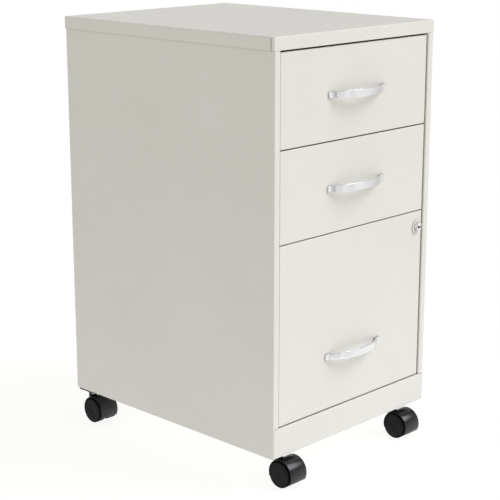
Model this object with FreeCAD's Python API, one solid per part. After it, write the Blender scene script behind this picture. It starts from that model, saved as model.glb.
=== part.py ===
import FreeCAD, Part
import math
import os

# Mobile steel filing cabinet: two box drawers over one file drawer, on four twin-wheel casters.
# Millimetres. +X is right seen from the front, the front faces -Y, +Z is up and the floor is z = 0.
# The origin is on the floor, under the centre of the cabinet's bounding box.

# overall size
CAP_WIDTH = 362.0
CAP_DEPTH = 457.2
HEIGHT = 675.0
BODY_BOTTOM = 52.0
SHEET = 0.9
BEND = 0.7
GAP = 0.3

# cap and side panels
CAP_FLANGE = 19.4
CAP_OVERHANG = 1.2
CAP_CORNER_RETURN = 5.6
CAP_SEAM = 1.2
CAP_SEAM_TOP = 2.2
CAP_FRONT_LIP = 12.0
STILE_WIDTH = 12.0
STILE_RETURN = 16.0
BACK_FLANGE = 12.0
RAIL_HEIGHT = 46.0
RAIL_SIDE_INSET = 2.4
RAIL_FLANGE = 20.0
RAIL_SEAM = 0.8
RAIL_FOLD = 8.0
BASE_UPSTAND = 14.0

# drawer fronts, as depths below the top of the cap
DRAWERS = {
    "top": {"upper": 22.3, "lower": 160.0, "handle": 92.0, "tray_height": 100.0},
    "middle": {"upper": 161.6, "lower": 298.6, "handle": 231.0, "tray_height": 100.0},
    "file": {"upper": 299.8, "lower": 575.8, "handle": 491.5, "tray_height": 240.0},
}
DRAWER_RECESS = 2.0
DRAWER_SIDE_GAP = 1.7
DRAWER_FRONT_DEPTH = 15.0
DRAWER_FRONT_LIP = 8.0
TOP_DRAWER_RETURN = 4.0
TRAY_RISE = 12.0
TRAY_HALF_WIDTH = 155.0
TRAY_REAR_CLEARANCE = 30.0
TRAY_HEM = 6.0
TRAY_HEM_DROP = 5.0
CAM_NOTCH_BELOW = 16.5
CAM_NOTCH_REACH = 17.0
CAM_NOTCH_DEPTH = 16.0

# bow handles
HANDLE_THICKNESS = 3.0
HANDLE_HALF_LENGTH = 64.5
HANDLE_PAD_START = 54.5
HANDLE_KNUCKLE_X = 53.3
HANDLE_KNUCKLE_RISE = 4.0
HANDLE_BOW_SLOPE = 0.5
HANDLE_BOW_RADIUS = 108.0
HANDLE_FOOT_RADIUS = 2.0
HANDLE_KNUCKLE_RADIUS = 2.5
HANDLE_END_HEIGHT = 9.4
HANDLE_MID_HEIGHT = 11.6
HANDLE_CORNER = 1.2
HANDLE_SCREW_X = 60.0
HANDLE_SCREW_RADIUS = 2.0
HANDLE_SCREW_DEPTH = 2.0
HANDLE_SCREW_HEAD_RADIUS = 3.8
HANDLE_SCREW_HEAD = 2.4

# lock
LOCK_X = 153.5
LOCK_DEPTH_BELOW_TOP = 325.0
BEZEL_RADIUS = 11.4
BEZEL_SETBACK = 0.2
BEZEL_EDGE = 0.8
DISH_RADIUS = 9.6
DISH_FLOOR_RADIUS = 7.4
DISH_DEPTH = 1.2
LOCK_NUT_RADIUS = 11.0
LOCK_NUT_THICKNESS = 4.0
LOCK_BARREL_RADIUS = 8.0
PLUG_RADIUS = 5.6
PLUG_STAND_OUT = 4.0
PLUG_EDGE = 0.9
PLUG_TAIL_RADIUS = 3.0
KEYWAY_WIDTH = 7.6
KEYWAY_HEIGHT = 1.9
KEYWAY_DEPTH = 7.0
CAM_LENGTH = 20.5
CAM_WIDTH = 11.0
CAM_THICKNESS = 2.5

# roller slides
POST_INNER_X = 168.4
POST_WIDTH = 24.0
POST_FOOT = 8.0
FRONT_POST_SETBACK = 32.0
REAR_POST_SETBACK = 90.0
POST_LOW = 20.0
POST_TOP = 22.0
RAIL_ABOVE_TRAY = 20.0
ROLLER_RADIUS = 10.0
ROLLER_WIDTH = 8.8
ROLLER_OUTER_X = 166.4
ROLLER_CLEARANCE = 0.3
ROLLER_EDGE = 0.6
ROLLER_RECESS = 1.6
ROLLER_RECESS_RADIUS = 4.4
ROLLER_PIN_RADIUS = 2.5
PIN_HEAD_RADIUS = 4.0
PIN_HEAD = 1.0
PIN_SETBACK = 0.2
RUNNING_FIT = 0.05
SLIDE_SHEET = 1.2
CABINET_RAIL_INNER_X = 158.2
CABINET_RAIL_SETBACK = 24.0
CABINET_RAIL_SPARE = 0.5
DRAWER_RAIL_OUTER_X = 166.4
DRAWER_RAIL_HANG = 6.0
DRAWER_RAIL_TAIL = 14.0
FRONT_ROLLER_SETBACK = 38.0
REAR_ROLLER_SETBACK = 72.0

# casters
WHEEL_RADIUS = 20.6
AXLE_HEIGHT = WHEEL_RADIUS
WHEEL_INNER_X = 4.7
WHEEL_OUTER_X = 19.4
WHEEL_RIM = 4.0
WHEEL_DISC = 3.0
WHEEL_EDGE = 1.4
HUB_RADIUS = 7.0
HOOD_RADIUS = 23.2
HOOD_SHELL = 1.2
HOOD_HALF_WIDTH = 17.6
HOOD_EDGE = 1.1
HOOD_WEB = 4.3
HOOD_REAR_SKIRT = 13.0
HOOD_FRONT_SKIRT = 9.5
BOSS_RADIUS = 7.0
BOSS_LOW = 24.0
TRAIL = 20.0
AXLE_RADIUS = 3.0
AXLE_HALF_LENGTH = 16.0
KINGPIN_RADIUS = 3.0
KINGPIN_LOW = 30.0
PLATE_SIZE = 37.0
PLATE_THICKNESS = 2.6
PLATE_CORNER = 3.0
PLATE_SCREW_OFFSET = 14.0
PLATE_HOLE_RADIUS = 2.1
PLATE_SCREW_RADIUS = 2.0
PLATE_SCREW_HEAD_RADIUS = 3.4
PLATE_SCREW_HEAD = 1.6
PLATE_SCREW_RISE = 6.0
STEM_SHIFT = -3.5
FRONT_PLATE_X = 137.5
REAR_PLATE_X = 161.0
FRONT_STEM_SETBACK = 26.0
REAR_STEM_SETBACK = 23.5

# planes worked out from the sizes above
HANDLE_RISE_LINE = HANDLE_KNUCKLE_RISE + HANDLE_KNUCKLE_X * HANDLE_BOW_SLOPE
BOW_SECANT = math.hypot(1.0, HANDLE_BOW_SLOPE)
HANDLE_RISE = HANDLE_RISE_LINE - HANDLE_BOW_RADIUS * (BOW_SECANT - 1.0)
HANDLE_REACH = HANDLE_RISE + HANDLE_THICKNESS - DRAWER_RECESS
FRONT = -(CAP_DEPTH - HANDLE_REACH) / 2.0
BACK = FRONT + CAP_DEPTH
BODY_BACK = BACK - CAP_OVERHANG
BODY_HALF = CAP_WIDTH / 2.0 - CAP_OVERHANG
OPENING_HALF = BODY_HALF - STILE_WIDTH
CAP_BOTTOM = HEIGHT - CAP_FLANGE
WALL_TOP = HEIGHT - SHEET - BEND
RAIL_TOP = BODY_BOTTOM + RAIL_HEIGHT
FRONT_HALF = OPENING_HALF - DRAWER_SIDE_GAP
FACE = FRONT + DRAWER_RECESS
FRONT_REAR = FACE + DRAWER_FRONT_DEPTH
TRAY_BACK = BODY_BACK - TRAY_REAR_CLEARANCE
FRONT_ROLLER_Y = FRONT + FRONT_ROLLER_SETBACK
REAR_ROLLER_Y = BACK - REAR_ROLLER_SETBACK
PLATE_BOTTOM = BODY_BOTTOM - PLATE_THICKNESS
LOCK_Z = HEIGHT - LOCK_DEPTH_BELOW_TOP
SIDES = (-1, 1)

# fits between pieces
SNUG = 0.02
HOLE_FIT = 0.1


def vec(x, y, z):
    return FreeCAD.Vector(x, y, z)


def box(x0, x1, y0, y1, z0, z1):
    return Part.makeBox(x1 - x0, y1 - y0, z1 - z0, vec(x0, y0, z0))


def rod(axis, centre, start, end, radius):
    """A cylinder along an axis name, from start to end; centre gives the other two coordinates in order."""
    a, b = centre
    base = {"x": vec(start, a, b), "y": vec(a, start, b), "z": vec(a, b, start)}[axis]
    way = {"x": vec(1, 0, 0), "y": vec(0, 1, 0), "z": vec(0, 0, 1)}[axis]
    return Part.makeCylinder(radius, end - start, base, way)


def mirrored(shape):
    return shape.mirror(vec(0, 0, 0), vec(1, 0, 0))


def fused(shapes):
    first, rest = shapes[0], list(shapes[1:])
    return first.multiFuse(rest).removeSplitter() if rest else first


def rounded(shape, radius, wanted):
    """The shape with each edge rounded whose mid-point and direction the test wants."""
    edges = []
    for edge in shape.Edges:
        ends = [v.Point for v in edge.Vertexes]
        if len(ends) == 2:
            middle = (ends[0] + ends[1]) * 0.5
            along = (ends[1] - ends[0]).normalize()
            if wanted(middle, along):
                edges.append(edge)
    return shape.makeFillet(radius, edges)


def side_of_strip(points, offset):
    """Edges of one side of a bent strip, in a plane. Each inner point is (u, v, centreline bend radius)."""
    edges = []
    spots = [FreeCAD.Vector(p[0], p[1], 0) for p in points]
    last = None
    for i in range(len(points) - 1):
        way = (spots[i + 1] - spots[i]).normalize()
        normal = vec(-way.y, way.x, 0)
        start = spots[i] + normal * offset if i == 0 else last
        if i + 2 == len(points):
            end = spots[i + 1] + normal * offset
            edges.append(Part.LineSegment(start, end))
            continue
        onward = (spots[i + 2] - spots[i + 1]).normalize()
        side = 1.0 if way.cross(onward).z > 0 else -1.0
        turn = way.getAngle(onward)
        bend = points[i + 1][2]
        reach = bend * math.tan(turn / 2.0)
        end = spots[i + 1] - way * reach + normal * offset
        centre = spots[i + 1] - way * reach + normal * (side * bend)
        outward = (spots[i + 1] - centre).normalize()
        middle = centre + outward * (bend - side * offset)
        last = spots[i + 1] + onward * reach + vec(-onward.y, onward.x, 0) * offset
        edges.append(Part.LineSegment(start, end))
        edges.append(Part.Arc(end, middle, last))
    return edges


def strip(points, thickness, plane, start, length):
    """A bent strip of sheet: its line in a plane, given thickness and drawn out along the third axis."""
    near = [e.toShape() for e in side_of_strip(points, thickness / 2.0)]
    far = [e.toShape() for e in side_of_strip(points, -thickness / 2.0)]
    first = Part.makeLine(near[0].Vertexes[0].Point, far[0].Vertexes[0].Point)
    final = Part.makeLine(near[-1].Vertexes[-1].Point, far[-1].Vertexes[-1].Point)
    wire = Part.Wire(Part.__sortEdges__(near + far + [first, final]))
    solid = Part.Face(wire).extrude(vec(0, 0, length))
    if plane == "xy":
        return solid.translate(vec(0, 0, start))
    if plane == "xz":
        solid.rotate(vec(0, 0, 0), vec(1, 0, 0), 90)
        return solid.translate(vec(0, start + length, 0))
    solid.rotate(vec(0, 0, 0), vec(1, 1, 1), 120)
    return solid.translate(vec(start, 0, 0))


def bent(points, sheet):
    """Strip points with the standard bend radius at every inner point."""
    return [(u, v, BEND + sheet / 2.0) for u, v in points]


# cabinet body


def top_cap():
    half = CAP_WIDTH / 2.0
    outer = box(-half, half, FRONT, BACK, CAP_BOTTOM, HEIGHT)
    outer = rounded(outer, BEND + SHEET, lambda m, a: abs(a.z) > 0.9 or m.z > HEIGHT - 0.01)
    inner = box(-half + SHEET, half - SHEET, FRONT + SHEET, BACK - SHEET, CAP_BOTTOM - 1, HEIGHT - SHEET)
    inner = rounded(inner, BEND, lambda m, a: abs(a.z) > 0.9 or m.z > HEIGHT - SHEET - 0.01)
    cap = outer.cut(inner)
    lip = box(
        -half + SHEET, half - SHEET, FRONT + SHEET / 2, FRONT + CAP_FRONT_LIP,
        CAP_BOTTOM, CAP_BOTTOM + SHEET,
    )
    cap = fused([cap, lip])
    seam_top = HEIGHT - CAP_SEAM_TOP
    for side in SIDES:
        wall = sorted((side * (half - 2.0), side * (half + 1.0)))
        y = FRONT + CAP_CORNER_RETURN
        cap = cap.cut(box(*wall, y, y + CAP_SEAM, CAP_BOTTOM - 1, seam_top))
        back_wall = sorted((side * (half - CAP_CORNER_RETURN), side * (half - CAP_CORNER_RETURN - CAP_SEAM)))
        cap = cap.cut(box(*back_wall, BACK - 2.0, BACK + 1.0, CAP_BOTTOM - 1, seam_top))
    return cap


def left_side_panel():
    wall = -BODY_HALF + SHEET / 2.0
    stile_edge = -OPENING_HALF - SHEET / 2.0
    front = FRONT + SHEET / 2.0
    back = BODY_BACK - SHEET / 2.0
    line = [
        (stile_edge, FRONT + STILE_RETURN),
        (stile_edge, front),
        (wall, front),
        (wall, back),
        (-BODY_HALF + BACK_FLANGE, back),
    ]
    panel = strip(bent(line, SHEET), SHEET, "xy", BODY_BOTTOM, WALL_TOP - BODY_BOTTOM)
    behind_cap = FRONT + CAP_FRONT_LIP + GAP
    behind_stile = FRONT + STILE_RETURN + 1
    for_cap = box(-BODY_HALF - 1, -OPENING_HALF + 1, FRONT - 1, behind_cap, CAP_BOTTOM - GAP, HEIGHT)
    for_lip = box(-BODY_HALF + 1, -OPENING_HALF + 1, FRONT - 1, behind_stile, CAP_BOTTOM - GAP, HEIGHT)
    for_rail = box(
        -BODY_HALF + RAIL_SIDE_INSET - GAP, -OPENING_HALF + 1, FRONT - 1, FRONT + RAIL_FLANGE + 1,
        BODY_BOTTOM - 1, RAIL_TOP + RAIL_SEAM,
    )
    return panel.cut(for_cap).cut(for_lip).cut(for_rail)


def back_panel():
    half = BODY_HALF - SHEET - BEND - 0.1
    rear = BODY_BACK - SHEET
    low = BODY_BOTTOM + SHEET
    return box(-half, half, rear - SHEET, rear, low, WALL_TOP)


def with_plate_screw_holes(sheet):
    for spot in plate_screw_places():
        sheet = sheet.cut(rod("z", spot, BODY_BOTTOM - 1, BODY_BOTTOM + 3, PLATE_HOLE_RADIUS))
    return sheet


def base_panel():
    side = BODY_HALF - SHEET - SHEET / 2.0
    low = BODY_BOTTOM + SHEET / 2.0
    upstand = BODY_BOTTOM + BASE_UPSTAND
    front = FRONT + RAIL_FLANGE + 2.0
    rear = BODY_BACK - 2 * SHEET - GAP
    line = bent([(-side, upstand), (-side, low), (side, low), (side, upstand)], SHEET)
    return with_plate_screw_holes(strip(line, SHEET, "xz", front, rear - front))


def front_bottom_rail():
    half = BODY_HALF - RAIL_SIDE_INSET
    face = FRONT + SHEET / 2.0
    line = [
        (FRONT + RAIL_FLANGE, RAIL_TOP - RAIL_FOLD),
        (FRONT + RAIL_FLANGE, RAIL_TOP - SHEET / 2.0),
        (face, RAIL_TOP - SHEET / 2.0),
        (face, BODY_BOTTOM + SHEET / 2.0),
        (FRONT + RAIL_FLANGE, BODY_BOTTOM + SHEET / 2.0),
    ]
    rail = strip(bent(line, SHEET), SHEET, "yz", -half, 2 * half)
    return with_plate_screw_holes(rail)


def left_slide_posts():
    wall = -BODY_HALF + SHEET * 1.5
    crown = -POST_INNER_X - SHEET / 2.0
    posts = []
    low = BODY_BOTTOM + POST_LOW
    for start in (FRONT + FRONT_POST_SETBACK, BODY_BACK - REAR_POST_SETBACK):
        line = [
            (wall, start - POST_FOOT),
            (wall, start),
            (crown, start),
            (crown, start + POST_WIDTH),
            (wall, start + POST_WIDTH),
            (wall, start + POST_WIDTH + POST_FOOT),
        ]
        posts.append(strip(bent(line, SHEET), SHEET, "xy", low, HEIGHT - POST_TOP - low))
    return Part.makeCompound(posts)


# drawers and their slides


def tray_bottom(drawer):
    return HEIGHT - drawer["lower"] + TRAY_RISE


def slide_height(drawer):
    return tray_bottom(drawer) + RAIL_ABOVE_TRAY


def drawer_front(name, drawer):
    low, high = HEIGHT - drawer["lower"], HEIGHT - drawer["upper"]
    outer = box(-FRONT_HALF, FRONT_HALF, FACE, FRONT_REAR, low, high)
    outer = rounded(outer, BEND + SHEET, lambda m, a: abs(a.y) > 0.9 or m.y < FACE + 0.01)
    inner = box(
        -FRONT_HALF + SHEET, FRONT_HALF - SHEET, FACE + SHEET, FRONT_REAR - SHEET,
        low + SHEET, high - SHEET,
    )
    inner = rounded(inner, BEND, lambda m, a: abs(a.y) > 0.9 or m.y < FACE + SHEET + 0.01)
    inset = SHEET + DRAWER_FRONT_LIP
    window = box(
        -FRONT_HALF + inset, FRONT_HALF - inset, FRONT_REAR - 2 * SHEET, FRONT_REAR + 1,
        low + inset, high - inset,
    )
    front = outer.cut(inner).cut(window)
    for side in SIDES:
        centre = (side * HANDLE_SCREW_X, HEIGHT - drawer["handle"])
        front = front.cut(rod("y", centre, FACE - 1, FACE + SHEET + 1, HANDLE_SCREW_RADIUS + HOLE_FIT))
    if name == "top":
        wall = FRONT_HALF - SHEET
        front = front.cut(box(-wall, wall, FACE + TOP_DRAWER_RETURN, FRONT_REAR + 1, high - inset, high + 1))
    if name == "file":
        hole = LOCK_BARREL_RADIUS + HOLE_FIT
        front = front.cut(rod("y", (LOCK_X, LOCK_Z), FACE - 1, FACE + SHEET + 1, hole))
    return front


def drawer_tray(name, drawer):
    wall = TRAY_HALF_WIDTH - SHEET / 2.0
    low = tray_bottom(drawer)
    high = low + drawer["tray_height"]
    hem = wall + TRAY_HEM
    line = [
        (-hem, high - TRAY_HEM_DROP),
        (-hem, high - SHEET / 2.0),
        (-wall, high - SHEET / 2.0),
        (-wall, low + SHEET / 2.0),
        (wall, low + SHEET / 2.0),
        (wall, high - SHEET / 2.0),
        (hem, high - SHEET / 2.0),
        (hem, high - TRAY_HEM_DROP),
    ]
    length = TRAY_BACK - FRONT_REAR
    shell = strip(bent(line, SHEET), SHEET, "xz", FRONT_REAR, length)
    inside = TRAY_HALF_WIDTH - SHEET / 2.0
    front_wall = box(-inside, inside, FRONT_REAR, FRONT_REAR + SHEET, low + SHEET / 2, high)
    back_wall = box(-inside, inside, TRAY_BACK - SHEET, TRAY_BACK, low + SHEET / 2, high)
    tray = fused([shell, front_wall, back_wall])
    if name == "file":
        notch = box(
            LOCK_X - CAM_NOTCH_REACH, hem + 2, FRONT_REAR - 1, FRONT_REAR + CAM_NOTCH_DEPTH,
            LOCK_Z - CAM_NOTCH_BELOW, high + 1,
        )
        tray = tray.cut(notch)
    return tray


def cabinet_rails(drawer):
    mid = slide_height(drawer)
    web = POST_INNER_X - SLIDE_SHEET / 2.0
    floor = mid - ROLLER_RADIUS - ROLLER_CLEARANCE - SLIDE_SHEET / 2.0
    roof = mid + ROLLER_RADIUS + ROLLER_CLEARANCE + 1.5 * SLIDE_SHEET + CABINET_RAIL_SPARE
    line = [(CABINET_RAIL_INNER_X, floor), (web, floor), (web, roof), (CABINET_RAIL_INNER_X, roof)]
    start = FRONT + CABINET_RAIL_SETBACK
    length = BODY_BACK - CABINET_RAIL_SETBACK - start
    right = strip(bent(line, SLIDE_SHEET), SLIDE_SHEET, "xz", start, length)
    return Part.makeCompound([mirrored(right), right])


def drawer_rails(drawer):
    mid = slide_height(drawer)
    web = TRAY_HALF_WIDTH + SLIDE_SHEET / 2.0
    track = mid + ROLLER_RADIUS + ROLLER_CLEARANCE + SLIDE_SHEET / 2.0
    line = bent([(web, mid - DRAWER_RAIL_HANG), (web, track), (DRAWER_RAIL_OUTER_X, track)], SLIDE_SHEET)
    start = FRONT_REAR + GAP
    right = strip(line, SLIDE_SHEET, "xz", start, REAR_ROLLER_Y + DRAWER_RAIL_TAIL - start)
    return Part.makeCompound([mirrored(right), right])


def roller_pair(y, z, head_outside):
    """Two nylon rollers on one axis, with a recess for the pin's head on their free end."""
    inner = ROLLER_OUTER_X - ROLLER_WIDTH
    wheel = rod("x", (y, z), inner, ROLLER_OUTER_X, ROLLER_RADIUS)
    rims = [e for e in wheel.Edges if e.BoundBox.XLength < 0.01]
    wheel = wheel.makeFillet(ROLLER_EDGE, rims)
    wheel = wheel.cut(rod("x", (y, z), inner - 1, ROLLER_OUTER_X + 1, ROLLER_PIN_RADIUS + RUNNING_FIT))
    recess = (inner - 1, inner + ROLLER_RECESS)
    if head_outside:
        recess = (ROLLER_OUTER_X - ROLLER_RECESS, ROLLER_OUTER_X + 1)
    wheel = wheel.cut(rod("x", (y, z), *recess, ROLLER_RECESS_RADIUS))
    return Part.makeCompound([mirrored(wheel), wheel])


def roller_pins(y, z, head_outside):
    """Riveted roller pins, one each side, rooted in the rail's web."""
    if head_outside:
        tip = ROLLER_OUTER_X - PIN_SETBACK
        shank = rod("x", (y, z), TRAY_HALF_WIDTH + SLIDE_SHEET, tip, ROLLER_PIN_RADIUS)
        head = rod("x", (y, z), tip - PIN_HEAD, tip, PIN_HEAD_RADIUS)
    else:
        tip = ROLLER_OUTER_X - ROLLER_WIDTH + PIN_SETBACK
        shank = rod("x", (y, z), tip, POST_INNER_X - SLIDE_SHEET, ROLLER_PIN_RADIUS)
        head = rod("x", (y, z), tip, tip + PIN_HEAD, PIN_HEAD_RADIUS)
    pin = fused([shank, head])
    return [mirrored(pin), pin]


def handle_line():
    """The strap's line in plan: pad, foot, knuckle, bow, knuckle, foot, pad. Rise is towards -Y."""
    pad = FACE - HANDLE_THICKNESS / 2.0
    half = [
        (HANDLE_HALF_LENGTH, pad, 0),
        (HANDLE_PAD_START, pad, HANDLE_FOOT_RADIUS),
        (HANDLE_KNUCKLE_X, pad - HANDLE_KNUCKLE_RISE, HANDLE_KNUCKLE_RADIUS),
    ]
    peak = (0.0, pad - HANDLE_RISE_LINE, HANDLE_BOW_RADIUS)
    return [(-x, y, r) for x, y, r in half] + [peak] + list(reversed(half))


def handle(drawer):
    """A bow strap, tallest in the middle, with blind screw holes in the back of its pads."""
    z = HEIGHT - drawer["handle"]
    tall = HANDLE_MID_HEIGHT / 2.0
    short = HANDLE_END_HEIGHT / 2.0
    strap = strip(handle_line(), HANDLE_THICKNESS, "xy", z - tall, 2 * tall)
    near, far = FACE - 40.0, FACE + 5.0
    end = HANDLE_HALF_LENGTH + 1.0
    pad = HANDLE_PAD_START
    lower = Part.Arc(vec(-pad, near, z - short), vec(0, near, z - tall), vec(pad, near, z - short)).toShape()
    upper = Part.Arc(vec(pad, near, z + short), vec(0, near, z + tall), vec(-pad, near, z + short)).toShape()
    corners = [(pad, -short), (end, -short), (end, short), (pad, short)]
    right = Part.makePolygon([vec(u, near, z + w) for u, w in corners])
    left = Part.makePolygon([vec(-u, near, z - w) for u, w in corners])
    wire = Part.Wire(Part.__sortEdges__([lower, upper] + right.Edges + left.Edges))
    strap = strap.common(Part.Face(wire).extrude(vec(0, far - near, 0)))
    ends = HANDLE_HALF_LENGTH - 0.1
    strap = rounded(strap, HANDLE_CORNER, lambda m, a: abs(a.y) > 0.99 and abs(m.x) > ends)
    floor = FACE - HANDLE_SCREW_DEPTH - HOLE_FIT
    for side in SIDES:
        centre = (side * HANDLE_SCREW_X, z)
        strap = strap.cut(rod("y", centre, floor, FACE + 1, HANDLE_SCREW_RADIUS + SNUG))
    return strap


def handle_screws(drawer):
    z = HEIGHT - drawer["handle"]
    screws = []
    for side in SIDES:
        centre = (side * HANDLE_SCREW_X, z)
        seat = FACE + SHEET
        shank = rod("y", centre, FACE - HANDLE_SCREW_DEPTH, seat + 0.5, HANDLE_SCREW_RADIUS)
        head = rod("y", centre, seat, seat + HANDLE_SCREW_HEAD, HANDLE_SCREW_HEAD_RADIUS)
        screws.append(fused([shank, head]))
    return Part.makeCompound(screws)


# lock


def lock_housing():
    centre = (LOCK_X, LOCK_Z)
    face = FRONT + BEZEL_SETBACK
    bezel = rod("y", centre, face, FACE, BEZEL_RADIUS)
    bezel = bezel.makeFillet(BEZEL_EDGE, [e for e in bezel.Edges if e.BoundBox.YMax < face + 0.1])
    dish = Part.makeCone(DISH_RADIUS, DISH_FLOOR_RADIUS, DISH_DEPTH, vec(LOCK_X, face, LOCK_Z), vec(0, 1, 0))
    barrel = rod("y", centre, FACE - 0.2, FRONT_REAR - 1.0, LOCK_BARREL_RADIUS)
    housing = fused([bezel.cut(dish), barrel])
    return housing.cut(rod("y", centre, FRONT - 1, FRONT_REAR, PLUG_RADIUS + RUNNING_FIT))


def lock_nut():
    points = []
    for i in range(7):
        angle = math.radians(60 * i + 30)
        x = LOCK_X + LOCK_NUT_RADIUS * math.cos(angle)
        z = LOCK_Z + LOCK_NUT_RADIUS * math.sin(angle)
        points.append(vec(x, FACE + SHEET, z))
    nut = Part.Face(Part.makePolygon(points)).extrude(vec(0, LOCK_NUT_THICKNESS, 0))
    return nut.cut(rod("y", (LOCK_X, LOCK_Z), FACE, FRONT_REAR, LOCK_BARREL_RADIUS + SNUG))


def lock_plug():
    centre = (LOCK_X, LOCK_Z)
    nose = FRONT - PLUG_STAND_OUT
    barrel = rod("y", centre, nose, FRONT_REAR - 1.2, PLUG_RADIUS)
    barrel = barrel.makeFillet(PLUG_EDGE, [e for e in barrel.Edges if e.BoundBox.YMax < nose + 0.1])
    tail = rod("y", centre, FRONT_REAR - 1.4, FRONT_REAR + CAM_THICKNESS + 1.2, PLUG_TAIL_RADIUS)
    keyway = box(
        LOCK_X - KEYWAY_WIDTH / 2, LOCK_X + KEYWAY_WIDTH / 2, nose - 1, nose + KEYWAY_DEPTH,
        LOCK_Z - KEYWAY_HEIGHT / 2, LOCK_Z + KEYWAY_HEIGHT / 2,
    )
    return fused([barrel, tail]).cut(keyway)


def lock_cam():
    """Points up while unlocked, and turns to the right behind the stile's return."""
    near = FRONT_REAR + 0.4
    half = CAM_WIDTH / 2.0
    hub = rod("y", (LOCK_X, LOCK_Z), near, near + CAM_THICKNESS, half)
    arm = box(LOCK_X - half, LOCK_X + half, near, near + CAM_THICKNESS, LOCK_Z, LOCK_Z + CAM_LENGTH)
    return fused([hub, arm]).cut(rod("y", (LOCK_X, LOCK_Z), near - 1, near + 5, PLUG_TAIL_RADIUS + SNUG))


# casters


def plate_places():
    front_y = FRONT + FRONT_STEM_SETBACK
    rear_y = BACK - REAR_STEM_SETBACK
    return {
        "front_left": (-FRONT_PLATE_X, front_y),
        "front_right": (FRONT_PLATE_X, front_y),
        "rear_left": (-REAR_PLATE_X, rear_y),
        "rear_right": (REAR_PLATE_X, rear_y),
    }


def caster_places():
    """The swivel axes, which sit off the middle of their plates."""
    return {place: (x + STEM_SHIFT, y) for place, (x, y) in plate_places().items()}


def plate_screw_places():
    offsets = [(i * PLATE_SCREW_OFFSET, j * PLATE_SCREW_OFFSET) for i in SIDES for j in SIDES]
    return [(x + i, y + j) for x, y in plate_places().values() for i, j in offsets]


def caster_plates():
    half = PLATE_SIZE / 2.0
    plates = []
    for x, y in plate_places().values():
        plate = box(x - half, x + half, y - half, y + half, PLATE_BOTTOM, BODY_BOTTOM)
        plate = rounded(plate, PLATE_CORNER, lambda m, a: abs(a.z) > 0.9)
        stem = (x + STEM_SHIFT, y)
        plate = plate.cut(rod("z", stem, PLATE_BOTTOM - 1, BODY_BOTTOM + 1, KINGPIN_RADIUS + SNUG))
        for i in SIDES:
            for j in SIDES:
                centre = (x + i * PLATE_SCREW_OFFSET, y + j * PLATE_SCREW_OFFSET)
                plate = plate.cut(rod("z", centre, PLATE_BOTTOM - 1, BODY_BOTTOM + 1, PLATE_HOLE_RADIUS))
        plates.append(plate)
    return Part.makeCompound(plates)


def caster_kingpins():
    top = BODY_BOTTOM - 0.1
    pins = [rod("z", spot, KINGPIN_LOW, top, KINGPIN_RADIUS) for spot in caster_places().values()]
    return Part.makeCompound(pins)


def caster_plate_screws():
    screws = []
    for spot in plate_screw_places():
        head = rod("z", spot, PLATE_BOTTOM - PLATE_SCREW_HEAD, PLATE_BOTTOM, PLATE_SCREW_HEAD_RADIUS)
        shank = rod("z", spot, PLATE_BOTTOM - 0.2, BODY_BOTTOM + PLATE_SCREW_RISE, PLATE_SCREW_RADIUS)
        screws.append(fused([head, shank]))
    return Part.makeCompound(screws)


def caster_hood(x, y):
    """Twin-wheel hood: a shell over both wheels, a web between them and a swivel boss."""
    axle_y = y - TRAIL
    shell = rod("x", (axle_y, AXLE_HEIGHT), x - HOOD_HALF_WIDTH, x + HOOD_HALF_WIDTH, HOOD_RADIUS)
    shell = shell.makeFillet(HOOD_EDGE, [e for e in shell.Edges if e.BoundBox.XLength < 0.01])
    boss = rod("z", (x, y), BOSS_LOW, PLATE_BOTTOM - 0.4, BOSS_RADIUS)
    hood = fused([shell, boss])
    for side in SIDES:
        cavity = sorted((x + side * HOOD_WEB, x + side * (HOOD_HALF_WIDTH + 1)))
        hood = hood.cut(rod("x", (axle_y, AXLE_HEIGHT), *cavity, HOOD_RADIUS - HOOD_SHELL))
    side = [(axle_y - 30, HOOD_FRONT_SKIRT), (axle_y, HOOD_FRONT_SKIRT), (axle_y + 10, HOOD_REAR_SKIRT)]
    side += [(axle_y + 40, HOOD_REAR_SKIRT), (axle_y + 40, -10), (axle_y - 30, -10), side[0]]
    under = Part.Face(Part.makePolygon([vec(x - 30, v, w) for v, w in side])).extrude(vec(60, 0, 0))
    hood = hood.cut(under)
    hood = hood.cut(rod("x", (axle_y, AXLE_HEIGHT), x - 10, x + 10, AXLE_RADIUS + SNUG))
    return hood.cut(rod("z", (x, y), KINGPIN_LOW - 0.6, PLATE_BOTTOM, KINGPIN_RADIUS + RUNNING_FIT))


def caster_axle(x, y):
    return rod("x", (y - TRAIL, AXLE_HEIGHT), x - AXLE_HALF_LENGTH, x + AXLE_HALF_LENGTH, AXLE_RADIUS)


def caster_wheel(x, y, side):
    """A cup-shaped wheel: closed outer disc, tyre rim and a blind hub on the axle."""
    centre = (y - TRAIL, AXLE_HEIGHT)
    near, far = sorted((x + side * WHEEL_INNER_X, x + side * WHEEL_OUTER_X))
    wheel = rod("x", centre, near, far, WHEEL_RADIUS)
    wheel = wheel.makeFillet(WHEEL_EDGE, [e for e in wheel.Edges if e.BoundBox.XLength < 0.01])
    hollow = sorted((x + side * (WHEEL_INNER_X - 1), x + side * (WHEEL_OUTER_X - WHEEL_DISC)))
    ring = rod("x", centre, *hollow, WHEEL_RADIUS - WHEEL_RIM).cut(rod("x", centre, *hollow, HUB_RADIUS))
    bore = sorted((x + side * (WHEEL_INNER_X - 1), x + side * (WHEEL_OUTER_X - WHEEL_DISC + 0.3)))
    return wheel.cut(ring).cut(rod("x", centre, *bore, AXLE_RADIUS + RUNNING_FIT))


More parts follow.
